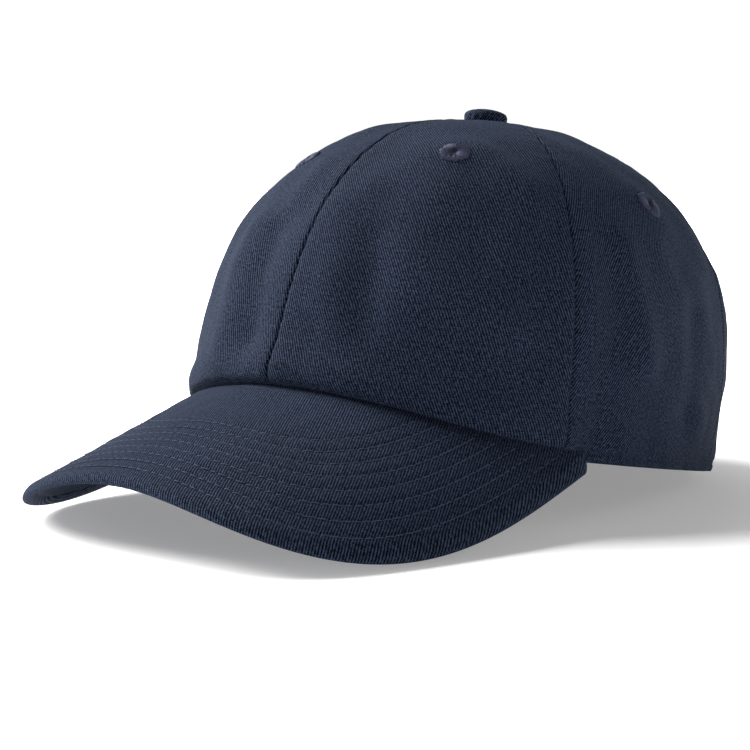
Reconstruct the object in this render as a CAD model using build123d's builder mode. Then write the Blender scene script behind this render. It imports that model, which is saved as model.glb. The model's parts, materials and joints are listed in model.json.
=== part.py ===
from build123d import *
import os
from math import atan2, cos, degrees, radians, sin, sqrt, tan

os.makedirs("parts", exist_ok=True)

# Everything is in millimetres and degrees. The cap frame has its XY plane on the head opening,
# the front at -Y, the wearer's left at +X and the crown's top at +Z. The cap rests on a table
# tipped back by rest_pitch, so that the brim's side edges and the back hem touch the table.

# Resting pose of the cap frame in the part's own frame
rest_pitch = 9.5
rest_forward = 18.07
rest_height = 15.6

# Crown, outer face
crown_front = 91.6
crown_back = 108.3
crown_half_width = 87.2
crown_height = 113.9
crown_rise_power = 2.64
front_power = 2.33
side_power = 2.63
back_power = 2.72
front_swell = -0.8
side_swell = 4.3
apex_shift = 5.9
top_share = 0.999
base_share = -0.1
dome_steps = 11

# Brim, top face: an arch across the cap that slopes down towards the front
arch_radius = 102.5
brim_slope = 26.7
brim_half_width = 82.8
brim_depth = 119.3
brim_power = 3.08
corner_x = 81.8
corner_height = 2.2

# Cloth layers, as depths under the crown's outer face
panel_depths = (0.0, 0.7)
centre_tape_depths = (0.75, 1.0)
left_tape_depths = (1.05, 1.3)
right_tape_depths = (1.35, 1.6)
arch_tape_depths = (0.75, 1.05)
padding_depths = (1.9, 3.7)
sweatband_depths = (3.8, 4.5)
binding_depths = (3.4, 4.9)
label_depths = (4.95, 5.35)

# Cloth layers of the brim, as depths under its top face
cover_thickness = 0.7
board_thickness = 2.0
under_thickness = 0.7
layer_gap = 0.05
cover_wrap = 0.8
under_inset = 3.2
seam_allowance = 0.85

# Seams, tapes and bands
gore_angle = 60
tape_width = 12.0
band_height = 32.0
binding_height = 8.0
binding_rise = 2.0
padding_base = 3.0
padding_top = 23.0
padding_half_angle = 80
band_gap_half_width = 47.0
label_inner_x = 49.0
label_outer_x = 65.0
label_height = 16.0

# Back opening
arch_half_width = 44.0
arch_height = 52.0
arch_tape_width = 8.0

# Eyelets
eyelet_outer_radius = 4.8
eyelet_inner_radius = 2.2
eyelet_hole_radius = 3.1
eyelet_barrel_radius = 3.0
eyelet_flange = 0.6
eyelet_proud = 0.2
eyelet_reach = 1.2
eyelet_places = {"front": (30, 0.815), "side": (90, 0.755), "back": (150, 0.79)}

# Top button
button_radius = 7.2
button_rise = 4.6
button_round_radius = 9.5
rivet_grip = 1.4
button_cloth = 0.5
rivet_radius = 1.5
rivet_hole_radius = 1.6
washer_radius = 5.0
washer_thickness = 0.6

# Strap, a band turned about an upright axis behind the head
strap_axis_y = 28.0
strap_radius = 78.0
strap_middle = 15.0
strap_width = 20.0
strap_thickness = 0.9
strap_flare = 6.0
strap_half_angle = 52.0

# Buckle
buckle_angle = -17.0
plate_half_length = 6.5
plate_face = -1.15
plate_thickness = 0.8
plate_window_length = 7.0
plate_window_width = 15.0
plate_window_radius = 1.5
wall_inner = 10.8
wall_outer = 12.0
wall_top = 3.1
wall_end = -12.4
wall_corner_radius = 1.4
bar_offset = -10.6
bar_height = 1.4
bar_radius = 0.8
pin_offset = 4.6
pin_height = 2.0
pin_radius = 0.7
pin_half_length = 12.4
hub_radius = 1.35
hub_bore_radius = 0.76
lever_half_width = 10.3
lever_length = 12.6
lever_bottom = 1.5
lever_thickness = 0.8
ridge_bottom = 0.85
ridge_offset = -1.0
ridge_length = 1.0
loop_half_width = 9.0
loop_bore_radius = 0.86
loop_outer_radius = 1.3
loop_inner_face = 0.75
loop_outer_face = 1.1
loop_end_angle = -45.0

far = 260.0

cap_frame = Plane(
    origin=(0, rest_forward, rest_height),
    x_dir=(1, 0, 0),
    z_dir=(0, sin(radians(rest_pitch)), cos(radians(rest_pitch))),
)


def in_cap(local_plane):
    """Places a plane that is given in the cap frame."""
    return Plane(cap_frame.location * local_plane.location)


def cap_direction(x, y, z):
    """Turns a direction of the cap frame into the part's own frame."""
    return cap_frame.from_local_coords((x, y, z)) - cap_frame.origin


def save(piece, name):
    """Labels one finished piece and writes it as a STEP file."""
    piece.label = name
    export_step(piece, f"parts/{name}.step")


# ---------------------------------------------------------------- crown surfaces


def outline_sizes(share, depth):
    """Front, side and back reach of the crown and its centre, at a share of its height."""
    level = max(share, 0)
    swell = 4 * level * (1 - level)
    closing = 1 - level**crown_rise_power
    front = (crown_front - depth) * closing ** (1 / front_power) + front_swell * swell
    side = (crown_half_width - depth) * closing ** (1 / side_power) + side_swell * swell
    back = (crown_back - depth) * closing ** (1 / back_power) + side_swell * swell
    return front, side, back, apex_shift * level**1.5


def crown_point(angle, share, depth=0):
    """Point of the crown at an angle from the front, seen from above the top button."""
    front, side, back, centre = outline_sizes(share, depth)
    across = sin(radians(angle))
    along = -cos(radians(angle))
    reach = back if along > 0 else front
    offset = apex_shift - centre
    a = (across / side) ** 2 + (along / reach) ** 2
    b = 2 * offset * along / reach**2
    c = (offset / reach) ** 2 - 1
    distance = (sqrt(b * b - 4 * a * c) - b) / (2 * a)
    height = share * (crown_height - depth)
    return Vector(distance * across, apex_shift + distance * along, height)


def crown_plane(angle, share):
    """Plane that touches the crown, with its normal pointing outwards."""
    step = 0.01
    here = crown_point(angle, share)
    upwards = crown_point(angle, share + step) - here
    around = crown_point(angle + 1, share) - here
    return in_cap(Plane(origin=here, x_dir=around, z_dir=around.cross(upwards)))


def dome(depth):
    """Solid space inside the crown, at a depth under its outer face."""
    shares = [base_share]
    shares += [sin(radians(90 * step / dome_steps)) for step in range(dome_steps)]
    shares.append(top_share)
    with BuildPart() as space:
        for share in shares:
            front, side, back, centre = outline_sizes(share, depth)
            with BuildSketch(in_cap(Plane.XY.offset(share * (crown_height - depth)))):
                with BuildLine():
                    EllipticalCenterArc((0, centre), side, back, start_angle=0, arc_size=180)
                    EllipticalCenterArc((0, centre), side, front, start_angle=180, arc_size=180)
                make_face()
        loft()
    return space.part


def brim_start():
    """Upright plane across the cap at the brim's corners, facing the front."""
    corner_y = -crown_front * sqrt(1 - (corner_x / crown_half_width) ** 2)
    return corner_y, in_cap(Plane(origin=(0, corner_y, 0), x_dir=(1, 0, 0), z_dir=(0, -1, 0)))


brim_corner_y, brim_start_plane = brim_start()
arch_centre_height = corner_height - sqrt(arch_radius**2 - corner_x**2)
brim_direction = cap_direction(0, -cos(radians(brim_slope)), -sin(radians(brim_slope)))
arch_reach = 92.0


def arch_line(radius, raised=0):
    """Points at the left, middle and right of an arch about the brim's own centre."""
    centre = arch_centre_height + raised
    end = centre + sqrt(radius**2 - arch_reach**2)
    return (-arch_reach, end), (0, centre + radius), (arch_reach, end)


def space_below(raised):
    """Space under the line that lies raised above the crown's hem."""
    left, middle, right = arch_line(arch_radius, raised)
    floor = base_share * crown_height * 1.5
    with BuildPart() as space:
        with BuildSketch(in_cap(Plane.XY.offset(raised))):
            Rectangle(far, far)
        extrude(amount=floor - raised)
        with BuildSketch(brim_start_plane):
            with BuildLine():
                ThreePointArc(left, middle, right)
                Polyline(right, (arch_reach, -far), (-arch_reach, -far), left)
            make_face()
        extrude(amount=far, dir=brim_direction)
    return space.part


hem_space = space_below(0)
opening_plane = in_cap(Plane.XZ)
top_plane = in_cap(Plane.XY)


def shell(depths):
    """Layer of the crown between two depths, down to the hem."""
    with BuildPart() as layer:
        add(dome(depths[0]))
        add(dome(depths[1]), mode=Mode.SUBTRACT)
        add(hem_space, mode=Mode.SUBTRACT)
    return layer.part


with BuildPart() as rivet_hole:
    with BuildSketch(top_plane):
        with Locations((0, apex_shift)):
            Circle(rivet_hole_radius)
    extrude(amount=far)


def back_arch(margin):
    """Space of the back opening, grown by a margin."""
    with BuildPart() as arch:
        with BuildSketch(opening_plane):
            Ellipse(arch_half_width + margin, arch_height + margin)
        extrude(amount=-far)
    return arch.part


# ---------------------------------------------------------------- crown panels

eyelet_planes = {}
for place, (angle, share) in eyelet_places.items():
    eyelet_planes[f"{place}_left"] = crown_plane(angle, share)
    eyelet_planes[f"{place}_right"] = crown_plane(-angle, share)

with BuildPart() as crown_shell:
    add(shell(panel_depths))
    add(rivet_hole.part, mode=Mode.SUBTRACT)
    add(back_arch(0), mode=Mode.SUBTRACT)
    with BuildSketch(*eyelet_planes.values()):
        Circle(eyelet_hole_radius)
    extrude(amount=eyelet_reach * 3, both=True, mode=Mode.SUBTRACT)


def make_panel(start_angle):
    """One gore of the crown, from start_angle round towards the back."""
    corners = [(0, apex_shift)]
    for angle in (start_angle, start_angle + gore_angle):
        corners.append((far * sin(radians(angle)), apex_shift - far * cos(radians(angle))))
    with BuildPart() as panel:
        add(crown_shell.part)
        with BuildSketch(in_cap(Plane.XY.offset(base_share * crown_height))):
            Polygon(*corners, align=None)
        extrude(amount=far, mode=Mode.INTERSECT)
    return panel.part


for step, place in enumerate(("front", "side", "back")):
    save(make_panel(step * gore_angle), f"{place}_panel_left")
    save(make_panel(-(step + 1) * gore_angle), f"{place}_panel_right")


def make_eyelet(plane):
    """Ring of stitching that wraps the edge of a panel's ventilation hole."""
    profile = [
        (eyelet_inner_radius, -eyelet_reach - eyelet_flange / 2),
        (eyelet_outer_radius, -eyelet_reach - eyelet_flange / 2),
        (eyelet_outer_radius, -eyelet_reach),
        (eyelet_barrel_radius, -eyelet_reach),
        (eyelet_barrel_radius, eyelet_proud),
        (eyelet_outer_radius, eyelet_proud),
        (eyelet_outer_radius - eyelet_flange / 2, eyelet_proud + eyelet_flange),
        (eyelet_inner_radius, eyelet_proud + eyelet_flange),
    ]
    side_plane = Plane(origin=plane.origin, x_dir=plane.x_dir, z_dir=-plane.y_dir)
    with BuildPart() as eyelet:
        with BuildSketch(side_plane):
            Polygon(*profile, align=None)
        revolve(axis=Axis(plane.origin, plane.z_dir))
    return eyelet.part


for place, plane in eyelet_planes.items():
    save(make_eyelet(plane), f"eyelet_{place}")


# ---------------------------------------------------------------- tapes and bands inside the crown


def make_seam_tape(angle, depths, margin):
    """Tape that covers a seam from hem to hem across the top of the crown."""
    with BuildPart() as tape:
        add(shell(depths))
        with BuildSketch(in_cap(Plane.XY.offset(base_share * crown_height))):
            with Locations((0, apex_shift)):
                Rectangle(tape_width, 2 * far, rotation=angle)
        extrude(amount=far, mode=Mode.INTERSECT)
        add(rivet_hole.part, mode=Mode.SUBTRACT)
        add(back_arch(margin), mode=Mode.SUBTRACT)
    return tape.part


save(make_seam_tape(0, centre_tape_depths, arch_tape_width + layer_gap), "seam_tape_center")
save(make_seam_tape(gore_angle, left_tape_depths, 0), "seam_tape_left_front_to_right_back")
save(make_seam_tape(-gore_angle, right_tape_depths, 0), "seam_tape_right_front_to_left_back")

with BuildPart() as arch_tape:
    add(shell(arch_tape_depths))
    with BuildSketch(opening_plane):
        Ellipse(arch_half_width + arch_tape_width, arch_height + arch_tape_width)
        Ellipse(arch_half_width, arch_height, mode=Mode.SUBTRACT)
    extrude(amount=-far, mode=Mode.INTERSECT)
save(arch_tape.part, "back_opening_tape")


def make_band(depths, bottom, top):
    """Band that follows the hem inside the crown, between two heights above it."""
    with BuildPart() as band:
        add(shell(depths))
        add(space_below(top), mode=Mode.INTERSECT)
        if bottom > 0:
            add(space_below(bottom), mode=Mode.SUBTRACT)
    return band.part


with BuildPart() as band_gap:
    with BuildSketch(opening_plane):
        Rectangle(2 * band_gap_half_width, 2 * far)
    extrude(amount=-far)

with BuildPart() as sweatband:
    add(make_band(sweatband_depths, 0, band_height))
    add(band_gap.part, mode=Mode.SUBTRACT)
save(sweatband.part, "sweatband")

with BuildPart() as padding:
    add(make_band(padding_depths, padding_base, padding_top))
    with BuildSketch(top_plane):
        side_x = far * sin(radians(padding_half_angle))
        side_y = -far * cos(radians(padding_half_angle))
        Polygon((0, 0), (-side_x, side_y), (-side_x, -far), (side_x, -far), (side_x, side_y), align=None)
    extrude(amount=far, mode=Mode.INTERSECT)
save(padding.part, "sweatband_padding")

with BuildPart() as binding:
    add(make_band(binding_depths, band_height - binding_height, band_height + binding_rise))
    sweatband_space = make_band(
        (sweatband_depths[0] - layer_gap, sweatband_depths[1] + layer_gap), 0, band_height + layer_gap
    )
    add(sweatband_space, mode=Mode.SUBTRACT)
    add(band_gap.part, mode=Mode.SUBTRACT)
save(binding.part, "sweatband_binding")

with BuildPart() as care_label:
    add(make_band(label_depths, 0, far))
    with BuildSketch(opening_plane):
        with Locations(((label_inner_x + label_outer_x) / 2, 0)):
            Rectangle(label_outer_x - label_inner_x, 2 * label_height)
    extrude(amount=-far, mode=Mode.INTERSECT)
save(care_label.part, "care_label")


# ---------------------------------------------------------------- brim


def brim_column(inset):
    """Upright column with the brim's outline as seen from above."""
    half_width = brim_half_width - inset
    depth = brim_depth - inset
    points = []
    for angle in (0, 5, 12, 20, 30, 40, 50, 60, 70, 80, 90):
        across = half_width * sin(radians(angle)) ** (2 / brim_power)
        along = depth * abs(cos(radians(angle))) ** (2 / brim_power)
        points.append((across, brim_corner_y - along))
    with BuildPart() as column:
        with BuildSketch(in_cap(Plane.XY.offset(-far / 2))):
            with BuildLine():
                Spline(*points, tangents=((1, 0), (0, 1)))
                mirror(about=Plane.YZ)
                Line((half_width, brim_corner_y), (-half_width, brim_corner_y))
            make_face()
        extrude(amount=far)
    return column.part


brim_inner_space = dome(seam_allowance)


def brim_sheet(inset, top, bottom):
    """Curved sheet of the brim between two depths under its top face."""
    outer = arch_line(arch_radius - top)
    inner = arch_line(arch_radius - bottom)
    with BuildPart() as sheet:
        with BuildSketch(brim_start_plane):
            with BuildLine():
                ThreePointArc(*outer)
                ThreePointArc(*inner)
                Line(outer[0], inner[0])
                Line(outer[2], inner[2])
            make_face()
        extrude(amount=far, dir=brim_direction)
        add(brim_column(inset), mode=Mode.INTERSECT)
        add(brim_inner_space, mode=Mode.SUBTRACT)
    return sheet.part


board_top = cover_thickness + layer_gap
board_bottom = board_top + board_thickness
under_top = board_bottom + layer_gap
brim_bottom = under_top + under_thickness

with BuildPart() as brim_top_cover:
    add(brim_sheet(0, 0, brim_bottom))
    add(brim_sheet(cover_wrap, cover_thickness, under_top), mode=Mode.SUBTRACT)
    add(brim_sheet(under_inset, board_bottom, brim_bottom + 1), mode=Mode.SUBTRACT)
save(brim_top_cover.part, "brim_top_cover")
save(brim_sheet(cover_wrap + layer_gap, board_top, board_bottom), "brim_board")
save(brim_sheet(under_inset + layer_gap, under_top, brim_bottom), "brim_under_cover")


# ---------------------------------------------------------------- top button

button_base = top_share * crown_height + layer_gap


def button_body(inset):
    """Low round-topped disc on the crown, smaller than the finished button by the inset."""
    with BuildPart(in_cap(Plane((0, apex_shift, button_base)))) as body:
        Cylinder(button_radius - inset, button_rise, align=(Align.CENTER, Align.CENTER, Align.MIN))
        with Locations((0, 0, button_rise - button_round_radius)):
            Sphere(button_round_radius - inset, mode=Mode.INTERSECT)
    return body.part


with BuildPart() as button_cover:
    add(button_body(0))
    add(button_body(button_cloth), mode=Mode.SUBTRACT)
save(button_cover.part, "top_button_cover")

with BuildPart() as button_core:
    add(button_body(button_cloth + layer_gap))
    with BuildSketch(top_plane):
        with Locations((0, apex_shift)):
            Circle(rivet_radius)
    extrude(amount=button_base + rivet_grip, mode=Mode.SUBTRACT)
save(button_core.part, "top_button_core")

washer_top = top_share * (crown_height - right_tape_depths[1]) - layer_gap
with BuildPart() as button_rivet:
    with BuildSketch(in_cap(Plane.XY.offset(washer_top))):
        with Locations((0, apex_shift)):
            Circle(washer_radius)
    extrude(amount=-washer_thickness)
    with BuildSketch(in_cap(Plane.XY.offset(washer_top))):
        with Locations((0, apex_shift)):
            Circle(rivet_radius)
    extrude(amount=button_base + rivet_grip - washer_top)
save(button_rivet.part, "top_button_rivet")


# ---------------------------------------------------------------- strap

strap_axis = Axis(cap_frame.from_local_coords((0, strap_axis_y, 0)), cap_frame.z_dir)
flare = tan(radians(strap_flare))


def strap_section_plane(angle):
    """Upright plane through the strap's axis, at an angle from straight back."""
    outwards = (sin(radians(angle)), cos(radians(angle)), 0)
    sideways = (cos(radians(angle)), -sin(radians(angle)), 0)
    return in_cap(Plane(origin=(0, strap_axis_y, strap_middle), x_dir=outwards, z_dir=sideways))


def turned_strip(start_angle, end_angle, half_width, inner, outer):
    """Strip turned about the strap's axis, between two offsets from the strap's middle."""
    inner_radius = strap_radius + inner
    outer_radius = strap_radius + outer
    lean = half_width * flare
    with BuildPart() as strip:
        with BuildSketch(strap_section_plane(start_angle)):
            Polygon(
                (inner_radius - lean, -half_width),
                (outer_radius - lean, -half_width),
                (outer_radius + lean, half_width),
                (inner_radius + lean, half_width),
                align=None,
            )
        revolve(axis=strap_axis, revolution_arc=start_angle - end_angle)
    return strip.part


with BuildPart() as strap:
    add(turned_strip(strap_half_angle, -strap_half_angle, strap_width / 2,
                     -strap_thickness / 2, strap_thickness / 2))
save(strap.part, "strap")


# ---------------------------------------------------------------- buckle
# The buckle's plane lies on the strap, with X along it towards the wearer's left, Y down
# across it and Z outwards.


def on_strap(angle):
    """Plane on the strap's middle surface, at an angle from straight back."""
    lean = radians(strap_flare)
    across = sin(radians(angle))
    along = cos(radians(angle))
    return in_cap(
        Plane(
            origin=(strap_radius * across, strap_axis_y + strap_radius * along, strap_middle),
            x_dir=(along, -across, 0),
            z_dir=(across * cos(lean), along * cos(lean), -sin(lean)),
        )
    )


buckle_plane = on_strap(buckle_angle)


def in_buckle(local_plane):
    """Places a plane that is given in the buckle's own plane."""
    return Plane(buckle_plane.location * local_plane.location)


side_view = in_buckle(Plane.XZ)
bar_place = (bar_offset, bar_height)
pin_place = (pin_offset, pin_height)

with BuildPart() as buckle_frame:
    with BuildSketch(in_buckle(Plane.XY.offset(plate_face))):
        Rectangle(2 * plate_half_length, 2 * wall_outer)
        RectangleRounded(plate_window_length, plate_window_width, plate_window_radius, mode=Mode.SUBTRACT)
    extrude(amount=-plate_thickness)
    for side in (1, -1):
        with BuildSketch(in_buckle(Plane.XZ.offset(side * wall_inner))):
            wall_length = plate_half_length - wall_end
            wall_low = plate_face - plate_thickness
            with Locations(((plate_half_length + wall_end) / 2, (wall_top + wall_low) / 2)):
                RectangleRounded(wall_length, wall_top - wall_low, wall_corner_radius)
            with Locations(pin_place):
                Circle(pin_radius, mode=Mode.SUBTRACT)
        extrude(amount=side * (wall_outer - wall_inner))
    with BuildSketch(side_view):
        with Locations(bar_place):
            Circle(bar_radius)
    extrude(amount=wall_inner, both=True)
save(buckle_frame.part, "buckle_frame")

with BuildPart() as buckle_pin:
    with BuildSketch(side_view):
        with Locations(pin_place):
            Circle(pin_radius)
    extrude(amount=pin_half_length, both=True)
save(buckle_pin.part, "buckle_pin")

with BuildPart() as buckle_lever:
    with BuildSketch(side_view):
        with Locations((pin_offset - lever_length / 2, lever_bottom + lever_thickness / 2)):
            Rectangle(lever_length, lever_thickness)
        with Locations(pin_place):
            Circle(hub_radius)
        with Locations((ridge_offset, (ridge_bottom + lever_bottom) / 2)):
            Rectangle(ridge_length, lever_bottom - ridge_bottom + layer_gap)
        with Locations(pin_place):
            Circle(hub_bore_radius, mode=Mode.SUBTRACT)
    extrude(amount=lever_half_width, both=True)
save(buckle_lever.part, "buckle_lever")

loop_angle = buckle_angle + degrees(atan2(bar_offset, strap_radius + bar_height))
with BuildPart() as buckle_loop:
    add(turned_strip(loop_angle, loop_end_angle, loop_half_width, loop_inner_face, loop_outer_face))
    with BuildSketch(side_view):
        with Locations(bar_place):
            Circle(loop_outer_radius)
    extrude(amount=loop_half_width, both=True)
    with BuildSketch(side_view):
        with Locations(bar_place):
            Circle(loop_bore_radius)
    extrude(amount=loop_half_width * 2, both=True, mode=Mode.SUBTRACT)
save(buckle_loop.part, "buckle_loop")

pin_centre = buckle_plane.from_local_coords((pin_offset, 0, pin_height))
print("lever hinge at", pin_centre, "along", buckle_plane.y_dir)
print("strap turns about", strap_axis.position, "along", strap_axis.direction)
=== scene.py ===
import json
import math

import bpy
import numpy as np
from mathutils import Matrix, Vector


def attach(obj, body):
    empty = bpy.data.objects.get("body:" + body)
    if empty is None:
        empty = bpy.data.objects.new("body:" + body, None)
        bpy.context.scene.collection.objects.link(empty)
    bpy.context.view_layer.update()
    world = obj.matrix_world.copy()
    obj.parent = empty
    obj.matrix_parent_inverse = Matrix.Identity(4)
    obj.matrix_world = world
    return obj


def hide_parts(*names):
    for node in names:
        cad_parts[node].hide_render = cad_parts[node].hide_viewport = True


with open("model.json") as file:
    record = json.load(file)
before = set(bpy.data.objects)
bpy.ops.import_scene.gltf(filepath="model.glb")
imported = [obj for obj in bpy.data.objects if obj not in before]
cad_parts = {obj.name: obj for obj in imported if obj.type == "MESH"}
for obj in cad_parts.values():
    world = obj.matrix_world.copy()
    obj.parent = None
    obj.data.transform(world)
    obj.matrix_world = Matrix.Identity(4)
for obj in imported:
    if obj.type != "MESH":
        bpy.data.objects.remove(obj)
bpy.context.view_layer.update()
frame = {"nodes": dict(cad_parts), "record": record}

# Lengths are in millimetres in the cap frame: XY is the head opening, the brim points along -Y
# and the wearer's left is +X. to_row() turns them into metres in the part's own frame.
MM = 0.001

head_mount = frame["record"]["mounts"][0]
CAP_UP = -np.array(head_mount["axis"])
CAP_ORIGIN = np.array(head_mount["pos_m"])
CAP_BACK = np.cross(CAP_UP, (1, 0, 0))
CAP_AXES = np.array([(1, 0, 0), CAP_BACK, CAP_UP])

# Crown, as in the CAD source
CROWN_FRONT = 91.6
CROWN_BACK = 108.3
CROWN_SIDE = 87.2
CROWN_HEIGHT = 113.9
RISE_POWER = 2.64
FRONT_POWER = 2.33
SIDE_POWER = 2.63
BACK_POWER = 2.72
FRONT_SWELL = -0.8
SIDE_SWELL = 4.3
APEX_SHIFT = 5.9
TOP_SHARE = 0.99995
GORE = 60.0
PANEL_THICKNESS = 0.7
ARCH_HALF_WIDTH = 44.0
ARCH_HEIGHT = 52.0
EYELETS = {"front": (30, 0.815), "side": (90, 0.755), "back": (150, 0.79)}
EYELET_HOLE = 3.0

# Brim
BRIM_ARCH = 102.5
BRIM_SLOPE = math.radians(26.7)
BRIM_HALF_WIDTH = 82.8
BRIM_DEPTH = 119.3
BRIM_POWER = 3.08
CORNER_X = 81.8
CORNER_HEIGHT = 2.2
CORNER_Y = -CROWN_FRONT * math.sqrt(1 - (CORNER_X / CROWN_SIDE) ** 2)
BRIM_THICKNESS = 3.5
BRIM_ROWS = 8
FIRST_ROW = 6.5
ROW_GAP = 4.8

# Stitching
STITCH_PITCH = 3.2
STITCH_LENGTH = 2.95
THREAD = 0.2
HEM_STITCH = 3.2

# Relief of the crown's cloth: the seams, the rolled edge over the brim, and the folds
SEAM_DIP = 0.5
SEAM_DIMPLE = 0.25
SEAM_RIDGE = 0.16
PUCKER_PITCH = 6.3
PUCKER_HEIGHT = 0.13
ROLL_START = 1.5
ROLL_RADIUS = 1.9
RECESS = 3.3
ROLL_BULGE = 1.7
BROAD_HEIGHT = 0.9
SOFT_HEIGHT = 0.55
CREASE_HEIGHT = 0.5
FINE_HEIGHT = 0.05
FOLD_STRENGTH = 1.25

# Eyelets
EYELET_RADIUS = 3.0
EYELET_STITCHES = 22
EYELET_WIDTH = 1.9
EYELET_HEIGHT = 0.75

# Inside of the crown: depths are inwards from the smooth crown, heights are above the hem
BAND_DEPTHS = (3.8, 4.5)
BAND_HEIGHT = 32.0
BAND_OPEN_X = 47.0
BAND_SEAMS = (3.5, 22.5)
FOAM_DEPTHS = (1.9, 3.7)
FOAM_HEIGHTS = (3.0, 23.0)
FOAM_HALF_ANGLE = 80.0
BINDING_HEIGHTS = (24.0, 34.0)
BINDING_EDGE_DEPTH = 4.1
BINDING_DEPTH = 4.15
BINDING_HALF = 0.78
TAPE_HALF_WIDTH = 6.0
TAPE_CLEARANCE = 7.0
TAPE_SETBACK = 0.8
ARCH_TAPE_DEPTHS = (0.7, 1.2)
ARCH_TAPE_WIDTH = 8.0
RIPPLE = 0.08
LABEL_X = (49, 65)
LABEL_Z = (0.3, 16)
LABEL_DEPTH = 5.1
LABEL_HALF_THICKNESS = 0.15

# Strap
STRAP_AXIS_Y = 28.0
STRAP_RADIUS = 78.0
STRAP_MIDDLE = 15.0
STRAP_WIDTH = 20.0
STRAP_THICKNESS = 0.9
STRAP_FLARE = math.tan(math.radians(6.0))
STRAP_HALF_ANGLE = 52.0
STRAP_SEAM = 7.2

# The buckle's bar, and the cloth loop that is folded round it
BUCKLE_ANGLE = -17.0
BAR_ALONG = -10.6
BAR_OUT = 1.4
LOOP_START = -45.0
LOOP_OFFSET = 0.95
LOOP_RADIUS = 1.08
LOOP_HALF_WIDTH = 9.0
LOOP_HALF_THICKNESS = 0.17

random = np.random.default_rng(7)


def to_row(points):
    """Points of the cap frame, in millimetres, as metres in the part's own frame."""
    return CAP_ORIGIN + (np.asarray(points, float) * MM) @ CAP_AXES


def unit(v):
    return v / np.maximum(np.linalg.norm(v, axis=-1, keepdims=True), 1e-12)


def bell(x, width):
    return np.exp(-((x / width) ** 2))


class Waves:
    """Smooth random bumps: a sum of sine waves in random directions."""

    def __init__(self, wavelength, count=14):
        self.directions = unit(random.normal(size=(count, 3)))
        self.directions *= 2 * math.pi / (wavelength * random.uniform(0.7, 1.5, (count, 1)))
        self.phases = random.uniform(0, 2 * math.pi, count)

    def at(self, points):
        total = np.sin(points @ self.directions.T + self.phases).sum(-1)
        return total / math.sqrt(len(self.phases) / 2) / 2


broad_waves = Waves(70)
soft_waves = Waves(28)
small_waves = Waves(11)
crease_waves = Waves(19, 8)


# ---- surfaces


def outline_sizes(share, depth=0):
    """Front, side and back reach of the crown at a share of its height, and its centre."""
    level = np.clip(share, 0, 1)
    swell = 4 * level * (1 - level)
    closing = np.maximum(1 - level**RISE_POWER, 1e-9)
    front = (CROWN_FRONT - depth) * closing ** (1 / FRONT_POWER) + FRONT_SWELL * swell
    side = (CROWN_SIDE - depth) * closing ** (1 / SIDE_POWER) + SIDE_SWELL * swell
    back = (CROWN_BACK - depth) * closing ** (1 / BACK_POWER) + SIDE_SWELL * swell
    return front, side, back, APEX_SHIFT * level**1.5


def crown_point(angle, share, depth=0):
    """Point at an angle from the front about the top button, at a share of the height."""
    angle, share = np.broadcast_arrays(np.asarray(angle, float), np.asarray(share, float))
    front, side, back, centre = outline_sizes(share, depth)
    across = np.sin(np.radians(angle))
    along = -np.cos(np.radians(angle))
    reach = np.where(along > 0, back, front)
    offset = APEX_SHIFT - centre
    a = (across / side) ** 2 + (along / reach) ** 2
    b = 2 * offset * along / reach**2
    c = (offset / reach) ** 2 - 1
    distance = (np.sqrt(np.maximum(b * b - 4 * a * c, 0)) - b) / (2 * a)
    height = share * (CROWN_HEIGHT - depth)
    return np.stack([distance * across, APEX_SHIFT + distance * along, height], -1)


def crown_normal(angle, share):
    around = crown_point(angle + 0.2, share) - crown_point(angle - 0.2, share)
    low = np.clip(share - 0.002, -0.2, 0.9985)
    upwards = crown_point(angle, low + 0.001) - crown_point(angle, low)
    return unit(np.cross(around, upwards))


def arch(x):
    return np.sqrt(np.maximum(BRIM_ARCH**2 - x**2, 0)) - BRIM_ARCH


def brim_height(x, y):
    """Height of the brim's top face over the head opening."""
    corner = BRIM_ARCH**2 - CORNER_X**2
    rise = arch(x) - (math.sqrt(corner) - BRIM_ARCH)
    return rise + math.tan(BRIM_SLOPE) * (y - CORNER_Y) + CORNER_HEIGHT


def brim_normal(x):
    slope_x = -x / np.sqrt(np.maximum(BRIM_ARCH**2 - x**2, 1))
    slope_y = np.full_like(slope_x, math.tan(BRIM_SLOPE))
    return unit(np.stack([-slope_x, -slope_y, np.ones_like(slope_x)], -1))


def share_at(angle, raised=0.0, arch_open=True, depth=0):
    """Share of the height at which each line of the crown meets its hem, brim or back opening,
    or the line that lies raised above the hem."""
    angle = np.asarray(angle, float)
    low = np.full_like(angle, raised / CROWN_HEIGHT - 0.001 if raised else 0.0)
    high = np.full_like(angle, 0.8)
    for _ in range(40):
        middle = (low + high) / 2
        p = crown_point(angle, middle, depth)
        under = (p[..., 1] < CORNER_Y) & (p[..., 2] < brim_height(p[..., 0], p[..., 1]) + raised)
        under |= p[..., 2] < raised
        if arch_open:
            spread = (p[..., 0] / ARCH_HALF_WIDTH) ** 2 + (p[..., 2] / ARCH_HEIGHT) ** 2
            under |= (p[..., 1] > 0) & (spread < 1)
        low = np.where(under, middle, low)
        high = np.where(under, high, middle)
    return np.where(high < 1e-6, 0, high)


# ---- meshes


def link_object(name, data):
    """New object in the scene for a mesh, camera or light."""
    obj = bpy.data.objects.new(name, data)
    bpy.context.scene.collection.objects.link(obj)
    return obj


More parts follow.
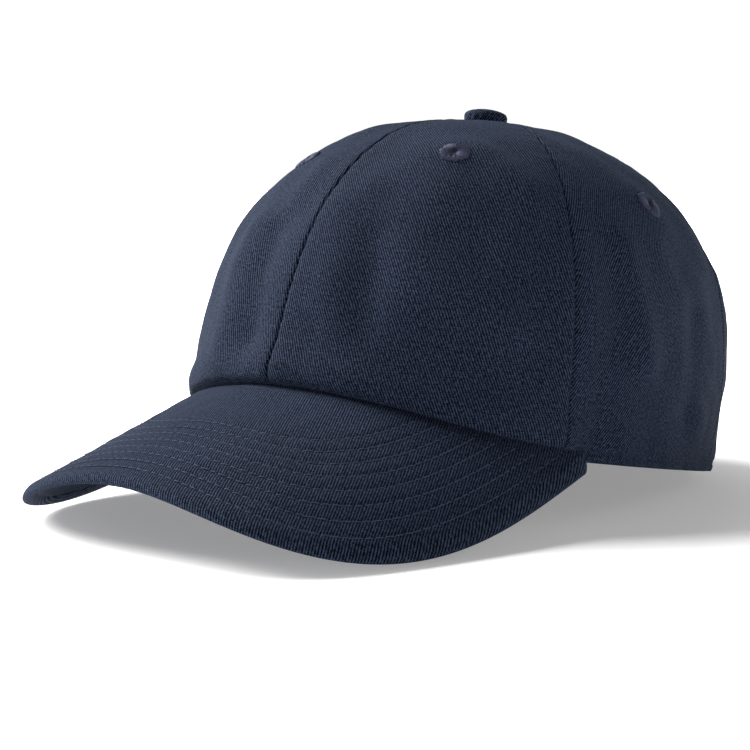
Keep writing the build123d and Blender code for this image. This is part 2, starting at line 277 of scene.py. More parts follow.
def new_object(name, vertices, faces, cloth=None):
    """Smooth mesh, with each vertex's place on the flat cloth kept as an attribute."""
    mesh = bpy.data.meshes.new(name)
    mesh.vertices.add(len(vertices))
    mesh.vertices.foreach_set("co", to_row(vertices).astype(np.float32).ravel())
    sizes = np.array([len(f) for f in faces], np.int32)
    starts = np.concatenate([[0], np.cumsum(sizes)[:-1]]).astype(np.int32)
    loops = np.concatenate([np.asarray(f, np.int32) for f in faces])
    mesh.loops.add(len(loops))
    mesh.loops.foreach_set("vertex_index", loops)
    mesh.polygons.add(len(sizes))
    mesh.polygons.foreach_set("loop_start", starts)
    mesh.polygons.foreach_set("loop_total", sizes)
    mesh.update(calc_edges=True)
    mesh.validate()
    mesh.polygons.foreach_set("use_smooth", np.full(len(mesh.polygons), True))
    if cloth is not None:
        values = np.zeros((len(vertices), 3), np.float32)
        values[:, : cloth.shape[1]] = cloth
        attribute = mesh.attributes.new("cloth_mm", "FLOAT_VECTOR", "POINT")
        attribute.data.foreach_set("vector", values.ravel())
    mesh.update()
    return link_object(name, mesh)


def finish_piece(piece, slot, material, *nodes, body="cap"):
    """Gives a piece its material and body, and hides the CAD nodes that it stands for. The slot is
    not used.
    """
    piece.data.materials.append(material)
    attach(piece, body)
    if nodes:
        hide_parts(*nodes)
    return piece


def grid_lengths(points):
    """Lengths along the rows and the columns of a grid of points."""
    across = np.linalg.norm(np.diff(points, axis=1), axis=2)
    along = np.linalg.norm(np.diff(points, axis=0), axis=2)
    u = np.concatenate([np.zeros((len(points), 1)), np.cumsum(across, 1)], 1)
    v = np.concatenate([np.zeros((1, points.shape[1])), np.cumsum(along, 0)], 0)
    return np.stack([u, v], -1)


def declare_sheet(piece):
    """Returns the piece unchanged; nothing is declared."""
    return piece


def declare_grid(piece):
    """Returns the piece unchanged, through declare_sheet()."""
    return declare_sheet(piece)


def slab(name, outer, inner, cloth, keep=None):
    """Closed sheet between two grids of points that face each other."""
    rows, columns = outer.shape[:2]
    if keep is None:
        keep = np.ones((rows - 1, columns - 1), bool)
    index = np.arange(rows * columns).reshape(rows, columns)
    offset = rows * columns
    r, c = np.nonzero(keep)
    a, b = index[r, c], index[r, c + 1]
    d, e = index[r + 1, c + 1], index[r + 1, c]
    faces = [np.stack([a, b, d, e], 1), np.stack([e, d, b, a], 1) + offset]
    padded = np.pad(keep, 1)
    here = padded[1:-1, 1:-1]
    walls = (
        (here & ~padded[:-2, 1:-1], (0, 0), (0, 1)),
        (here & ~padded[2:, 1:-1], (1, 1), (1, 0)),
        (here & ~padded[1:-1, :-2], (1, 0), (0, 0)),
        (here & ~padded[1:-1, 2:], (0, 1), (1, 1)),
    )
    for mask, start, end in walls:
        r, c = np.nonzero(mask)
        p = index[r + start[0], c + start[1]]
        q = index[r + end[0], c + end[1]]
        faces.append(np.stack([q, p, p + offset, q + offset], 1))
    faces = np.concatenate(faces)
    vertices = np.concatenate([outer.reshape(-1, 3), inner.reshape(-1, 3)])
    flat = cloth.reshape(-1, cloth.shape[-1])
    flat = np.concatenate([flat, flat])
    used = np.unique(faces)
    remap = np.full(len(vertices), -1)
    remap[used] = np.arange(len(used))
    return new_object(name, vertices[used], remap[faces], flat[used])


def tube(name, sections, cloth=None, closed_loop=False):
    """Closed body through rings of points: sections[i] is the i-th ring."""
    count, around = sections.shape[:2]
    index = np.arange(count * around).reshape(count, around)
    following = np.roll(index, -1, axis=1)
    faces = []
    last = count if closed_loop else count - 1
    for i in range(last):
        j = (i + 1) % count
        faces.append(np.stack([index[i], following[i], following[j], index[j]], 1))
    faces = [tuple(f) for f in np.concatenate(faces)]
    if not closed_loop:
        faces.append(tuple(index[0][::-1]))
        faces.append(tuple(index[-1]))
    flat = None if cloth is None else cloth.reshape(-1, cloth.shape[-1])
    return new_object(name, sections.reshape(-1, 3), faces, flat)


def resample(points, pitch, *others):
    """Points at an even pitch along a line, with other values along it."""
    steps = np.linalg.norm(np.diff(points, axis=0), axis=1)
    length = np.concatenate([[0], np.cumsum(steps)])
    count = max(int(length[-1] / pitch), 1)
    at = np.arange(count + 1) * length[-1] / count
    return [
        np.stack([np.interp(at, length, v[:, k]) for k in range(v.shape[1])], 1)
        for v in (points, *others)
    ]


def stitches(runs, lift):
    """Vertices and faces of sewn stitches along runs of (points, outward normals)."""
    stations = np.linspace(-1, 1, 6)
    ring = np.arange(6) * math.pi / 3
    vertices, faces = [], []
    base = 0
    for points, normals in runs:
        if len(points) < 2:
            continue
        points, normals = resample(points, STITCH_PITCH, normals)
        if len(points) < 2:
            continue
        middle = (points[1:] + points[:-1]) / 2
        along = unit(points[1:] - points[:-1])
        up = unit(normals[1:] + normals[:-1])
        side = unit(np.cross(up, along))
        turn = random.normal(0, 0.05, (len(middle), 1))
        along = unit(along + side * turn)
        side = unit(np.cross(up, along))
        for s in stations:
            bow = (1 - s * s) * (lift + THREAD * 0.6) - 0.12
            width = THREAD * (1 - 0.55 * abs(s) ** 4)
            centre = middle + along * (s * STITCH_LENGTH / 2) + up * bow
            for angle in ring:
                swing = side * math.cos(angle) * width + up * math.sin(angle) * width * 0.8
                vertices.append(centre + swing)
        count = len(middle)
        grid = base + np.arange(6 * 6 * count).reshape(6, 6, count)
        for i in range(5):
            for k in range(6):
                m = (k + 1) % 6
                faces.append(np.stack([grid[i, k], grid[i, m], grid[i + 1, m], grid[i + 1, k]], 1))
        for i, corners in ((0, (3, 2, 1, 0)), (0, (0, 5, 4, 3)),
                           (5, (0, 1, 2, 3)), (5, (3, 4, 5, 0))):
            faces.append(np.stack([grid[i, k] for k in corners], 1))
        base += 6 * 6 * count
    return np.concatenate(vertices), np.concatenate(faces)


def stitch_piece(name, runs, slot, material, lift=0.1, body="cap"):
    vertices, faces = stitches(runs, lift)
    piece = new_object(name, vertices, faces, vertices[:, :2])
    return finish_piece(piece, slot, material, body=body)


# ---- materials


def set_inputs(node, **values):
    """Sets a node's inputs, with _ for each space in a name."""
    for key, value in values.items():
        node.inputs[key.replace("_", " ")].default_value = value


class Nodes:
    """Small helper for building a node material."""

    def __init__(self, name):
        self.material = bpy.data.materials.new(name)
        self.material.use_nodes = True
        self.tree = self.material.node_tree
        self.shader = self.tree.nodes["Principled BSDF"]

    def add(self, kind, **settings):
        node = self.tree.nodes.new(kind)
        for key, value in settings.items():
            setattr(node, key, value)
        return node

    def set(self, **values):
        set_inputs(self.shader, **values)

    def link(self, source, target):
        self.tree.links.new(source, target)

    def math(self, operation, a, b=None, c=None, clamp=False):
        node = self.add("ShaderNodeMath", operation=operation, use_clamp=clamp)
        for socket, value in zip(node.inputs, (a, b, c)):
            if value is None:
                continue
            if isinstance(value, (int, float)):
                socket.default_value = value
            else:
                self.link(value, socket)
        return node.outputs[0]

    def wave(self, phase):
        """Sine wave between 0 and 1."""
        return self.math("MULTIPLY_ADD", self.math("SINE", phase), 0.5, 0.5)

    def centred(self, value, gain, base):
        return self.math("MULTIPLY_ADD", self.math("SUBTRACT", value, 0.5), gain, base)

    def noise(self, vector, scale, detail=2.0, roughness=0.5):
        node = self.add("ShaderNodeTexNoise")
        set_inputs(node, Scale=scale, Detail=detail, Roughness=roughness)
        self.link(vector, node.inputs["Vector"])
        return node.outputs["Fac"]

    def mix(self, factor, a, b):
        node = self.add("ShaderNodeMix", data_type="RGBA")
        if isinstance(factor, (int, float)):
            node.inputs[0].default_value = factor
        else:
            self.link(factor, node.inputs[0])
        for socket, value in ((node.inputs[6], a), (node.inputs[7], b)):
            if isinstance(value, tuple):
                socket.default_value = (*value, 1)
            else:
                self.link(value, socket)
        return node.outputs[2]

    def bump(self, height, strength, distance):
        node = self.add("ShaderNodeBump")
        set_inputs(node, Strength=strength, Distance=distance)
        self.link(height, node.inputs["Height"])
        self.link(node.outputs["Normal"], self.shader.inputs["Normal"])


CLOTH_SHEEN = 0.05
CLOTH_SHINE = 0.05
YARN_PITCH = 0.55
MOTTLE = 0.3


def twill(name, lean, pitch, light, dark, relief=0.16):
    """Woven cotton twill: diagonal ribs that lean from upright, in the cloth's own millimetres. Its
    colour runs from the cloth's own colour on the ribs to painted shade in the gaps between them.
    """
    n = Nodes(name)
    cloth = n.add("ShaderNodeAttribute", attribute_name="cloth_mm")
    place = cloth.outputs["Vector"]
    parts = n.add("ShaderNodeSeparateXYZ")
    n.link(place, parts.inputs[0])
    u, v = parts.outputs[0], parts.outputs[1]
    cos, sin = math.cos(math.radians(lean)), math.sin(math.radians(lean))
    wobble = n.centred(n.noise(place, 0.22, 3), 2.2, 0.0)
    across = n.math("ADD", n.math("MULTIPLY", u, cos), n.math("MULTIPLY", v, sin))
    along = n.math("SUBTRACT", n.math("MULTIPLY", v, cos), n.math("MULTIPLY", u, sin))
    phase = n.math("ADD", n.math("MULTIPLY", across, 2 * math.pi / pitch), wobble)
    steps = n.math("MULTIPLY", along, 2 * math.pi / YARN_PITCH)
    twist = n.math("ADD", steps, n.math("MULTIPLY", phase, 0.5))
    body = n.math("MULTIPLY", n.wave(phase), n.math("MULTIPLY_ADD", n.wave(twist), 0.42, 0.58))
    fibre = n.noise(place, 3.0, 4, 0.7)
    height = n.math("ADD", body, n.math("MULTIPLY", fibre, 0.35))
    patch = n.noise(place, 0.035, 3, 0.6)
    fleck = n.noise(place, 1.1, 3, 0.7)
    tone = n.centred(fibre, 1.4, n.centred(fleck, 2.6, body))
    contrast = n.add("ShaderNodeMapRange", interpolation_type="SMOOTHSTEP")
    set_inputs(contrast, From_Min=0.12, From_Max=0.92)
    n.link(tone, contrast.inputs["Value"])
    # Painted shade: the tone of the ribs, with random fleck and fibre noise, runs to the near-black
    # second colour in the gaps between the ribs.
    colour = n.mix(contrast.outputs[0], dark, light)
    shade = n.centred(patch, MOTTLE, 1.0)
    scaled = n.add("ShaderNodeVectorMath", operation="SCALE")
    n.link(colour, scaled.inputs[0])
    n.link(shade, scaled.inputs["Scale"])
    n.link(scaled.outputs[0], n.shader.inputs["Base Color"])
    n.link(n.math("MULTIPLY_ADD", fibre, 0.2, 0.72), n.shader.inputs["Roughness"])
    n.set(Sheen_Weight=CLOTH_SHEEN, Sheen_Roughness=0.45, Sheen_Tint=(0.55, 0.68, 1.0, 1))
    n.set(Specular_IOR_Level=CLOTH_SHINE, Specular_Tint=(0.5, 0.65, 1.0, 1))
    n.bump(height, 0.9, relief * MM)
    return n.material


def thread(name, colour, sheen=0.3):
    """Fine matt grain, for sewing thread, open foam and moulded board."""
    n = Nodes(name)
    place = n.add("ShaderNodeTexCoord").outputs["Object"]
    strands = n.noise(place, 4200, 2)
    tone = n.mix(strands, tuple(c * 0.6 for c in colour), tuple(c * 1.35 for c in colour))
    n.link(tone, n.shader.inputs["Base Color"])
    n.set(Roughness=0.6, Specular_IOR_Level=0.12, Sheen_Weight=sheen, Sheen_Tint=(0.6, 0.7, 1.0, 1))
    n.bump(strands, 0.5, 0.08 * MM)
    return n.material


def metal(name, colour, worn, roughness):
    n = Nodes(name)
    place = n.add("ShaderNodeTexCoord").outputs["Object"]
    patina = n.noise(place, 260, 5, 0.65)
    fine = n.noise(place, 2400, 3, 0.6)
    ramp = n.math("MULTIPLY_ADD", patina, 2.2, -0.6, clamp=True)
    n.link(n.mix(ramp, colour, worn), n.shader.inputs["Base Color"])
    n.set(Metallic=1.0)
    n.link(n.math("MULTIPLY_ADD", fine, 0.25, roughness - 0.1), n.shader.inputs["Roughness"])
    n.bump(n.math("MULTIPLY_ADD", fine, 0.3, patina), 0.25, 0.12 * MM)
    return n.material


def plain_weave(name, light, dark, pitch):
    n = Nodes(name)
    place = n.add("ShaderNodeAttribute", attribute_name="cloth_mm").outputs["Vector"]
    parts = n.add("ShaderNodeSeparateXYZ")
    n.link(place, parts.inputs[0])
    warp = n.math("SINE", n.math("MULTIPLY", parts.outputs[0], 2 * math.pi / pitch))
    weft = n.math("SINE", n.math("MULTIPLY", parts.outputs[1], 2 * math.pi / pitch))
    cell = n.math("MULTIPLY_ADD", n.math("MULTIPLY", warp, weft), 0.5, 0.5)
    fibre = n.noise(place, 2.5, 4, 0.7)
    tone = n.math("MULTIPLY_ADD", fibre, 0.6, n.math("MULTIPLY", cell, 0.5), clamp=True)
    n.link(n.mix(tone, dark, light), n.shader.inputs["Base Color"])
    n.set(Roughness=0.85, Sheen_Weight=0.25)
    n.bump(n.math("ADD", cell, fibre), 0.7, 0.08 * MM)
    return n.material


# LIGHT is the cloth's own colour on top of the ribs; the near-black second colour is painted shade
# in the gaps between the ribs.
LIGHT = (0.040, 0.056, 0.099)
RIB_GAP_SHADE = (0.0010, 0.0015, 0.0036)
crown_cloth = {
    f"{place}_{side}": twill(f"twill_{place}_{side}", lean, pitch, LIGHT, RIB_GAP_SHADE)
    for place, lean, pitch in (("front", 26, 0.82), ("side", -29, 0.71), ("back", 26, 0.82))
    for side in ("left", "right")
}
brim_cloth = twill("twill_brim", 26, 0.85, LIGHT, RIB_GAP_SHADE)
# Painted shade: the brim's underside uses the twill colours made 0.85 times as bright.
shaded_under_cloth = twill("twill_brim_under_shaded", 30, 0.85, tuple(c * 0.85 for c in LIGHT), RIB_GAP_SHADE)
# Painted light: the top button's cover uses the twill colours made 1.3 times as bright.
lit_button_cloth = twill("twill_button_lit", 25, 0.75, tuple(c * 1.3 for c in LIGHT), RIB_GAP_SHADE)
strap_cloth = twill("twill_strap", 35, 0.85, LIGHT, RIB_GAP_SHADE)
band_cloth = twill("twill_sweatband", 35, 0.8, tuple(c * 0.85 for c in LIGHT), RIB_GAP_SHADE, relief=0.1)
tape_cloth = plain_weave("woven_tape", (0.045, 0.056, 0.09), (0.008, 0.010, 0.018), 0.8)
binding_cloth = plain_weave("bias_tape", (0.040, 0.050, 0.082), (0.007, 0.009, 0.016), 0.6)
label_cloth = plain_weave("label_satin", (0.66, 0.65, 0.61), (0.42, 0.41, 0.38), 0.5)
# The stitching thread is darker than the cloth: partly the navy thread's own colour, partly painted
# shade standing for the dent of the hem's stitch line.
cap_thread = thread("navy_thread", (0.016, 0.021, 0.040), 0.0)
row_thread = thread("brim_thread", (0.035, 0.047, 0.084), 0.1)
eyelet_thread = thread("eyelet_thread", (0.042, 0.046, 0.085), 0.1)
brass = metal("antique_brass", (0.30, 0.19, 0.075), (0.60, 0.43, 0.20), 0.36)
steel = metal("plated_steel", (0.30, 0.29, 0.27), (0.62, 0.60, 0.57), 0.3)
foam = thread("open_foam", (0.35, 0.35, 0.36), 0.0)
board_plastic = thread("board_plastic", (0.05, 0.05, 0.055), 0.0)
alloy = metal("stamped_alloy", (0.40, 0.40, 0.41), (0.68, 0.68, 0.69), 0.4)


# ---- crown panels


def edge_spacing(count):
    """Places from 0 to 1 that crowd together at both ends."""
    even = np.linspace(0, 1, count)
    near = np.array([0, 0.003, 0.006, 0.0095, 0.0135, 0.018, 0.0225, 0.027, 0.0315, 0.036, 0.042,
                     0.05, 0.06])
    places = np.concatenate([even[(even > 0.062) & (even < 0.938)], near, 1 - near])
    return np.unique(places)


def rising_shares(low, rows):
    """Shares of the height from the hem to the top, about evenly spaced over the surface."""
    near = np.array([0, 0.002, 0.004, 0.006, 0.0085, 0.0115, 0.015, 0.02, 0.026, 0.033, 0.039])
    steps = np.concatenate([near, np.linspace(0.045, 1, rows - len(near))])
    return low + (TOP_SHARE - low) * np.sin(steps[:, None] * math.pi / 2)


def eyelet_centres():
    places = {}
    for place, (angle, share) in EYELETS.items():
        for side, name in ((1, "left"), (-1, "right")):
            places[f"{place}_{name}"] = (
                crown_point(side * angle, share),
                crown_normal(np.array(float(side * angle)), np.array(share)),
            )
    return places


eyelet_places = eyelet_centres()
eyelet_seats = {}


# Soft folds of the resting crown: the two ends as (angle, share of the height), then the
# fold's half width and how far it stands out, in millimetres
FOLDS = (
    ((17, 0.56), (19, 0.32), 5, -1.1),
    ((4, 0.64), (13, 0.30), 6, 0.7),
    ((24, 0.38), (44, 0.38), 8, 0.9),
    ((54, 0.64), (52.5, 0.28), 6, -1.2),
    ((74, 0.60), (78.5, 0.30), 4.5, 1.3),
    ((68.5, 0.62), (70.5, 0.34), 5, -1.2),
    ((38, 0.85), (52, 0.69), 4, 0.9),
    ((67.5, 0.07), (67, 0.30), 6, -0.9),
    ((98, 0.44), (96.5, 0.18), 5, -1.3),
    ((-21.5, 0.58), (-17.5, 0.25), 6, 1.5),
    ((-11, 0.57), (-8, 0.27), 4.5, -1.2),
    ((-10, 0.66), (-13, 0.79), 5, 0.9),
    ((36, 0.54), (19, 0.67), 8, -0.7),
    ((87, 0.62), (92, 0.5), 5, 0.8),
    ((-62, 0.52), (-76, 0.28), 6, 1.1),
    ((-100, 0.52), (-95, 0.2), 6, -1.1),
    ((122, 0.58), (130, 0.3), 6, 0.9),
    ((-126, 0.6), (-136, 0.35), 6, -0.9),
    ((143, 0.71), (165, 0.6), 6, 0.6),
    ((-160, 0.75), (-168, 0.62), 6, 0.6),
)


def fold_relief(points):
    relief = np.zeros(points.shape[:-1])
    for first, last, width, height in FOLDS:
        a = crown_point(*map(float, first))
        b = crown_point(*map(float, last))
        run = b - a
        share = np.clip(((points - a) @ run) / (run @ run), 0, 1)
        away = np.linalg.norm(points - a - share[..., None] * run, axis=-1)
        relief += height * bell(away, width * 1.3)
    return relief


def crown_relief(points, from_edge, from_hem, front):
    """How far the cloth stands out from the smooth crown, in millimetres."""
    dimple = 0.5 + 0.5 * np.cos(from_hem * 2 * math.pi / STITCH_PITCH)
    relief = -(SEAM_DIP + SEAM_DIMPLE * dimple) * bell(from_edge, 0.5)
    relief += SEAM_RIDGE / (1 + np.exp((from_edge - 5.0) / 0.9)) * (1 - bell(from_edge, 1.6))
    pucker = np.sin(from_hem * 2 * math.pi / PUCKER_PITCH + 2.2 * soft_waves.at(points))
    relief += PUCKER_HEIGHT * pucker * np.exp(-from_edge / 4.5)
    roll = np.clip((from_hem - ROLL_START) / ROLL_RADIUS, 0, 1)
    relief -= 0.35 * bell(from_hem, 1.2) + front * RECESS * (1 - np.sqrt(1 - (1 - roll) ** 2))
    relief += 0.15 * bell(from_hem - 6, 5) + ROLL_BULGE * front * bell(from_hem - 7, 6.5)
    relief -= 0.5 * (1 - front) * bell(from_hem - HEM_STITCH, 0.8)
    hem_pucker = np.sin(points[..., 0] * 0.9 + points[..., 1] * 0.8 + 2 * soft_waves.at(points))
    relief += 0.15 * hem_pucker * np.exp(-from_hem / 5)
    settle = np.minimum(from_edge / 12, 1)
    wrinkles = np.abs(crease_waves.at(points)) * (0.5 + 0.5 * broad_waves.at(points[..., ::-1]))
    broad = BROAD_HEIGHT * broad_waves.at(points)
    relief += settle * (broad + SOFT_HEIGHT * soft_waves.at(points) + CREASE_HEIGHT * wrinkles)
    relief += FOLD_STRENGTH * fold_relief(points)
    relief += FINE_HEIGHT * small_waves.at(points)
    return relief


def make_panel(name, start):
    """One gore of the crown: its cloth, the holes for its eyelets and its hem stitching."""
    angles = start + GORE * edge_spacing(96)
    shares = rising_shares(share_at(angles)[None, :], 150)
    grid = np.broadcast_to(angles, shares.shape)
    points = crown_point(grid, shares)
    normals = crown_normal(grid, shares)
    from_start, from_hem = np.moveaxis(grid_lengths(points), -1, 0)
    from_edge = np.minimum(from_start, from_start[:, -1:] - from_start)
    middle = shares.shape[1] // 2
    width, length = from_start[:, -1].max(), from_hem[-1, middle]
    cloth = np.stack([from_start - from_start[:, -1:] / 2, from_hem - from_hem[-1:] + length], -1)
    frontness = np.clip((CORNER_Y + 3 - points[0, :, 1]) / 14, 0, 1)
    relief = crown_relief(points, from_edge, from_hem, (frontness**2 * (3 - 2 * frontness))[None])
    outer = points + normals * relief[..., None]
    inner = points + normals * (relief - PANEL_THICKNESS)[..., None]
    centres = (outer[1:, 1:] + outer[:-1, 1:] + outer[1:, :-1] + outer[:-1, :-1]) / 4
    keep = np.ones(centres.shape[:2], bool)
    for place, (centre, axis) in eyelet_places.items():
        distance = np.linalg.norm(outer - centre, axis=-1)
        if distance.min() < 4:
            eyelet_seats[place] = outer.reshape(-1, 3)[distance.argmin()]
        away = centres - centre
        along_axis = (away @ axis)[..., None] * axis
        keep &= np.linalg.norm(away - along_axis, axis=-1) > EYELET_HOLE
    piece = slab(name + "_cloth", outer, inner, cloth, keep)
    finish_piece(piece, "crown_twill", crown_cloth[name.replace("_panel", "")], name)
    declare_sheet(piece)
    columns = [j for j in range(3, shares.shape[1] - 3) if frontness[j] <= 0]
    if len(columns) > 3:
        line, line_normals = (
            np.array([[np.interp(HEM_STITCH, from_hem[:, j], values[:, j, k]) for k in range(3)]
                      for j in columns])
            for values in (outer, normals)
        )
        stitch_piece(name + "_stitching", [(line, line_normals)], "crown_twill", cap_thread)


for step, place in enumerate(("front", "side", "back")):
    make_panel(f"{place}_panel_left", step * GORE)
    make_panel(f"{place}_panel_right", -(step + 1) * GORE)


# ---- eyelets


def make_eyelet(name, centre, axis):
    """Thick ring of radial buttonhole stitches, wrapped over the edge of the hole."""
    side = unit(np.cross(axis, (0.0, 0.0, 1.0)))
    up = np.cross(side, axis)
    around = np.linspace(0, 2 * math.pi, 264, endpoint=False)
    section = np.linspace(0, 2 * math.pi, 22, endpoint=False)
    turn, slant = np.meshgrid(around, section, indexing="ij")
    rib = np.abs(np.sin(turn * EYELET_STITCHES + 0.35 * np.sin(slant)))
    wild = 0.16 * np.sin(turn * 7 + centre[0]) + 0.14 * np.sin(turn * 13 + centre[1])
    thick = 0.7 + 0.36 * rib + 0.1 * np.sin(turn * 61 + 3 * slant)
    radius = EYELET_RADIUS + (EYELET_WIDTH + wild) * np.cos(slant) * thick
    height = 0.1 + EYELET_HEIGHT * np.sin(slant) * thick - radius**2 / 190
    ring = (
        centre
        + side * (radius * np.cos(turn))[..., None]
        + up * (radius * np.sin(turn))[..., None]
        + axis * height[..., None]
    )
    piece = tube(f"{name}_stitched", ring[:, ::-1], closed_loop=True)
    finish_piece(piece, "eyelet_thread", eyelet_thread, name)


for place, (_, axis) in eyelet_places.items():
    make_eyelet(f"eyelet_{place}", eyelet_seats[place], axis)


# ---- brim


def outline_point(t, inset=0.0):
    """Plan outline of the brim: t runs from -1 at the right corner to 1 at the left."""
    a = t * math.pi / 2
    across = (BRIM_HALF_WIDTH - inset) * np.sign(a) * np.abs(np.sin(a)) ** (2 / BRIM_POWER)
    along = (BRIM_DEPTH - inset) * np.abs(np.cos(a)) ** (2 / BRIM_POWER)
    return np.stack([across, CORNER_Y - along], -1)


flat_x = np.linspace(0, 96, 600)
flat_slope = -flat_x / np.sqrt(BRIM_ARCH**2 - flat_x**2) * math.cos(BRIM_SLOPE)
flat_steps = np.sqrt(1 + ((flat_slope[1:] + flat_slope[:-1]) / 2) ** 2) * np.diff(flat_x)
flat_across = np.concatenate([[0], np.cumsum(flat_steps)])
FLAT_HALF = float(np.interp(BRIM_HALF_WIDTH, flat_x, flat_across))
FLAT_DEPTH = BRIM_DEPTH / math.cos(BRIM_SLOPE)


def flatten(x, y):
    """Place on the brim's cloth laid flat, in millimetres."""
    across = np.sign(x) * np.interp(np.abs(x), flat_x, flat_across)
    along = (y - CORNER_Y) / math.cos(BRIM_SLOPE) + arch(x) * math.sin(BRIM_SLOPE)
    return np.stack([across, along], -1)


def row_inset(x, y):
    """How far inside the outline a point lies, counted in brim rows' own way."""
    across = np.interp(np.abs(x), flat_x, flat_across)
    along = np.abs(y - CORNER_Y) / math.cos(BRIM_SLOPE)
    low = np.full_like(x, -3.0)
    high = np.full_like(x, 90.0)
    for _ in range(40):
        middle = (low + high) / 2
        size = (across / (FLAT_HALF - middle)) ** BRIM_POWER
        size += (along / (FLAT_DEPTH - middle)) ** BRIM_POWER
        low = np.where(size < 1, middle, low)
        high = np.where(size < 1, high, middle)
    return low


def row_line(inset, count=900):
    """Line of the brim at an inset from its edge, seen from above."""
    a = np.linspace(-1, 1, count) * math.pi / 2
    across = (FLAT_HALF - inset) * np.sign(a) * np.abs(np.sin(a)) ** (2 / BRIM_POWER)
    x = np.sign(across) * np.interp(np.abs(across), flat_across, flat_x)
    along = (FLAT_DEPTH - inset) * math.cos(BRIM_SLOPE) * np.abs(np.cos(a)) ** (2 / BRIM_POWER)
    return x, CORNER_Y - along


def crown_edge(t, depth):
    """Where the brim's top face meets the crown, at a depth inside it."""
    corner_angle = math.degrees(math.atan2(CORNER_X, APEX_SHIFT - CORNER_Y))
    angle = t * (corner_angle - 0.2)
    share = np.clip(share_at(angle, arch_open=False), 0.004, 1)
    p = crown_point(angle, share, depth)
    return p[..., :2]


def brim_relief(points, inset):
    relief = 0.09 * small_waves.at(points) + 0.2 * soft_waves.at(points)
    for row in range(BRIM_ROWS):
        relief -= 0.3 * bell(inset - FIRST_ROW - row * ROW_GAP, 0.75)
    return relief


def brim_layer(plan, depth):
    """Points of the brim at places seen from above, at a depth under its top face."""
    x, y = plan[..., 0], plan[..., 1]
    inner = np.sqrt(np.maximum((BRIM_ARCH - depth) ** 2 - x**2, 0))
    lift = inner - math.sqrt(BRIM_ARCH**2 - CORNER_X**2)
    return np.stack([x, y, lift + math.tan(BRIM_SLOPE) * (y - CORNER_Y) + CORNER_HEIGHT], -1)


BRIM_INNER_DEPTH = 3.8
TOP_CLOTH = 0.55
ROLL_CLOTH = 0.5
UNDER_CLOTH = 0.6
CREASE_DEPTH = 0.9
CREASE_WIDTH = 2.7
TURNED_EDGE = 2.05


def make_brim_top(t, start):
    """Upper cloth of the brim, which wraps round the edge and turns in underneath."""
    roll = BRIM_THICKNESS / 2
    u = np.linspace(0, 1, 110)[:, None, None]
    plan = start * (1 - u) + outline_point(t, roll) * u
    inset = row_inset(plan[..., 0], plan[..., 1])
    top = brim_layer(plan, 0.0)
    relief = brim_relief(top, inset) * np.minimum((1 - u[..., 0]) * 20, 1)
    crease = CREASE_DEPTH * bell(np.linalg.norm(plan - start, axis=-1), CREASE_WIDTH)
    relief -= crease * np.clip(6 * (1 - np.abs(t)), 0, 1)
    outer_rows = [top + brim_normal(plan[..., 0]) * relief[..., None]]
    inner_rows = [brim_layer(plan, TOP_CLOTH)]
    cloth_rows = [flatten(plan[..., 0], plan[..., 1])]
    last = cloth_rows[0][-1]
    outward = unit(flatten(*outline_point(t).T) - last)
    thin = roll - ROLL_CLOTH
    for bend in np.radians(np.linspace(10, 180, 17)):
        around, down = math.sin(bend), 1 - math.cos(bend)
        outer_rows.append(brim_layer(outline_point(t, roll * (1 - around)), roll * down)[None])
        inner_line = outline_point(t, roll - thin * around)
        inner_rows.append(brim_layer(inner_line, roll - thin * (1 - down))[None])
        cloth_rows.append((last + outward * roll * bend)[None])
    for inward, tuck in ((0.6, 0.0), (1.3, 0.0), (1.9, 0.3)):
        line = outline_point(t, roll + inward)
        outer_rows.append(brim_layer(line, BRIM_THICKNESS - tuck)[None])
        inner_rows.append(brim_layer(line, BRIM_THICKNESS - ROLL_CLOTH)[None])
        cloth_rows.append((last + outward * (roll * math.pi + inward))[None])
    cloth = np.concatenate(cloth_rows)
    piece = slab("brim_top_cloth", np.concatenate(outer_rows), np.concatenate(inner_rows), cloth)
    finish_piece(piece, "brim_twill", brim_cloth, "brim_top_cover")
    declare_grid(piece)


def make_brim_under(t, start):
    rows = 70
    w = np.linspace(0, 1, rows)[:, None, None]
    plan = start * (1 - w) + outline_point(t, BRIM_THICKNESS / 2 + TURNED_EDGE) * w
    face = brim_layer(plan, BRIM_THICKNESS)
    wrinkle = 0.1 * soft_waves.at(face) + 0.05 * small_waves.at(face)
    near_edge = (1 - w[..., 0]) * (rows - 1)
    lift = wrinkle * np.minimum(near_edge / 5, 1) + 0.35 * bell(near_edge, 1.2)
    face = face + brim_normal(plan[..., 0]) * lift[..., None]
    cloth = flatten(plan[..., 0], plan[..., 1])
    piece = slab("brim_under_cloth", brim_layer(plan, BRIM_THICKNESS - UNDER_CLOTH), face, cloth)
    finish_piece(piece, "brim_under_twill", shaded_under_cloth, "brim_under_cover")
    declare_grid(piece)


even = np.linspace(-1, 1, 420)
brim_turns = np.sign(even) * np.abs(even) ** 0.85
brim_start = crown_edge(brim_turns, BRIM_INNER_DEPTH)
make_brim_top(brim_turns, brim_start)
make_brim_under(brim_turns, brim_start)


def brim_stitch_runs():
    """The rows of stitches on the brim, where they lie clear of the crown."""
    runs = []
    for row in range(BRIM_ROWS):
        x, y = row_line(FIRST_ROW + row * ROW_GAP)
        z = brim_height(x, y)
        front, side, _, centre = outline_sizes(np.clip(z / CROWN_HEIGHT, 0, 0.5))
        clear = (x / (side + 0.8)) ** 2 + ((y - centre) / (front + 0.8)) ** 2 > 1
        clear &= y < CORNER_Y - 2
        for part in np.split(np.arange(len(x)), np.flatnonzero(np.diff(clear)) + 1):
            if clear[part[0]] and len(part) > 8:
                points = np.stack([x[part], y[part], z[part]], -1)
                normals = brim_normal(x[part])
                sink = (0.06 * small_waves.at(points) - 0.2)[:, None]
                runs.append((points + normals * sink, normals))
    return runs


stitch_piece("brim_stitching", brim_stitch_runs(), "brim_twill", row_thread, lift=0.16)


# ---- top button


